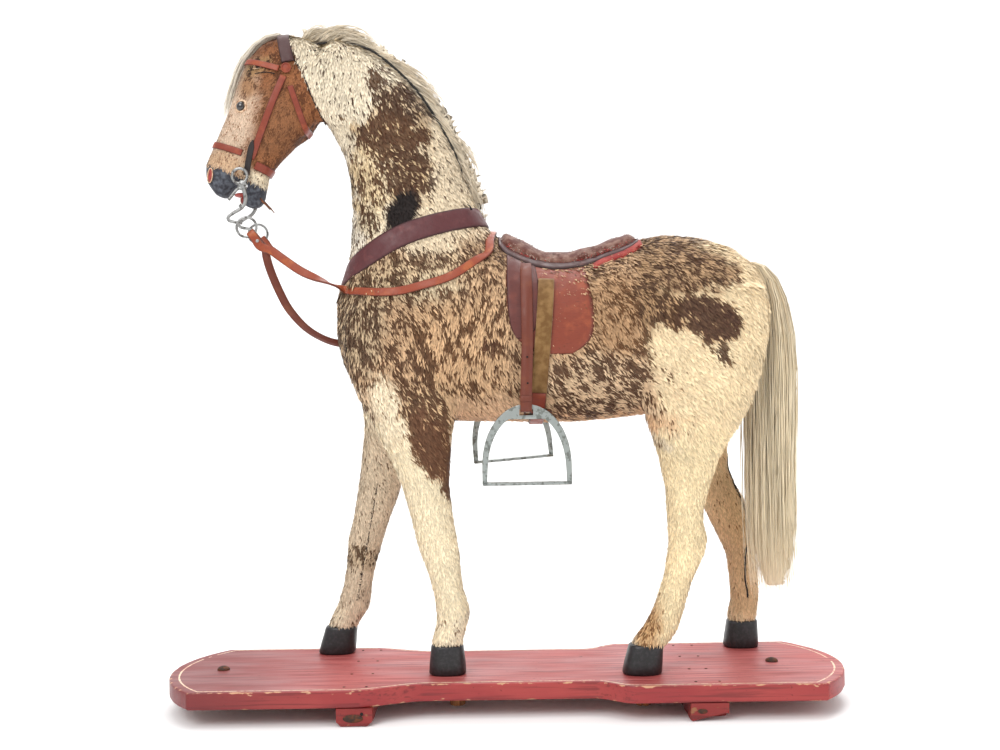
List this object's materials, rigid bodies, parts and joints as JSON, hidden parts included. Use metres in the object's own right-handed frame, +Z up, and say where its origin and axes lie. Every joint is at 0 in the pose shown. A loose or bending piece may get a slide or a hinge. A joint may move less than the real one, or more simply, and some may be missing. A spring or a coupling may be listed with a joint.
{
  "type": "toy horse on platform",
  "caption": "Hide-covered toy horse with horsehair mane and tail, leather bridle, collar, saddle and stirrups, standing on a waisted red painted wooden platform",
  "frame": {"origin": "on the floor under the middle of the platform, level with the underside of the two battens", "axes": "+Z up, the horse faces -X, its near (left) side faces -Y, +Y is its far side"},
  "size_m": [0.734, 0.2048, 0.7477],
  "materials": {
    "red_paint": "red paint over wood, worn, with a cream pin-stripe",
    "batten_paint": "dark red paint over wood, worn",
    "bare_wood": "bare turned wood",
    "dark_iron": "dark rusty iron",
    "hide": "natural short-haired hide, cream with brown patches",
    "black_paint": "black paint over wood",
    "tan_leather": "orange tan leather, worn",
    "brown_leather": "dark brown leather",
    "burgundy_leather": "burgundy brown leather",
    "black_leather": "black leather",
    "plush": "red plush worn to the grey-tan backing",
    "webbing": "khaki cotton webbing",
    "stirrup_metal": "dull grey plated metal",
    "bit_metal": "tarnished metal",
    "horsehair": "blond horsehair",
    "eye_glass": "glass eye, dark pupil with a light catch"
  },
  "bodies": {
    "root": {"axle_batten_front": "batten_paint", "axle_batten_rear": "batten_paint", "bit_hanger_far": "black_leather", "bit_hanger_near": "black_leather", "bolt_front": "dark_iron", "bolt_rear": "dark_iron", "browband": "tan_leather", "cheek_strap_far": "tan_leather", "cheek_strap_near": "tan_leather", "chin_strap": "brown_leather", "crown_strap": "brown_leather", "curb_bit": "bit_metal", "eye_far": "eye_glass", "eye_near": "eye_glass", "forelock": "horsehair", "girth": "webbing", "girth_buckle": "dark_iron", "hoof_far_fore": "black_paint", "hoof_far_hind": "black_paint", "hoof_near_fore": "black_paint", "hoof_near_hind": "black_paint", "horse_body": "hide", "leg_peg_far_fore": "bare_wood", "leg_peg_far_hind": "bare_wood", "leg_peg_near_fore": "bare_wood", "leg_peg_near_hind": "bare_wood", "mane": "horsehair", "neck_collar": "burgundy_leather", "noseband": "tan_leather", "platform_board": "red_paint", "rein_ring_far": "bit_metal", "rein_ring_near": "bit_metal", "reins": "tan_leather", "saddle_flap_far": "tan_leather", "saddle_flap_near": "tan_leather", "saddle_seat": "plush", "saddle_skirt": "brown_leather", "stirrup_far": "stirrup_metal", "stirrup_leather_far": "tan_leather", "stirrup_leather_near": "tan_leather", "stirrup_near": "stirrup_metal", "tail": "horsehair", "throat_latch": "tan_leather"}
  },
  "joints": []
}
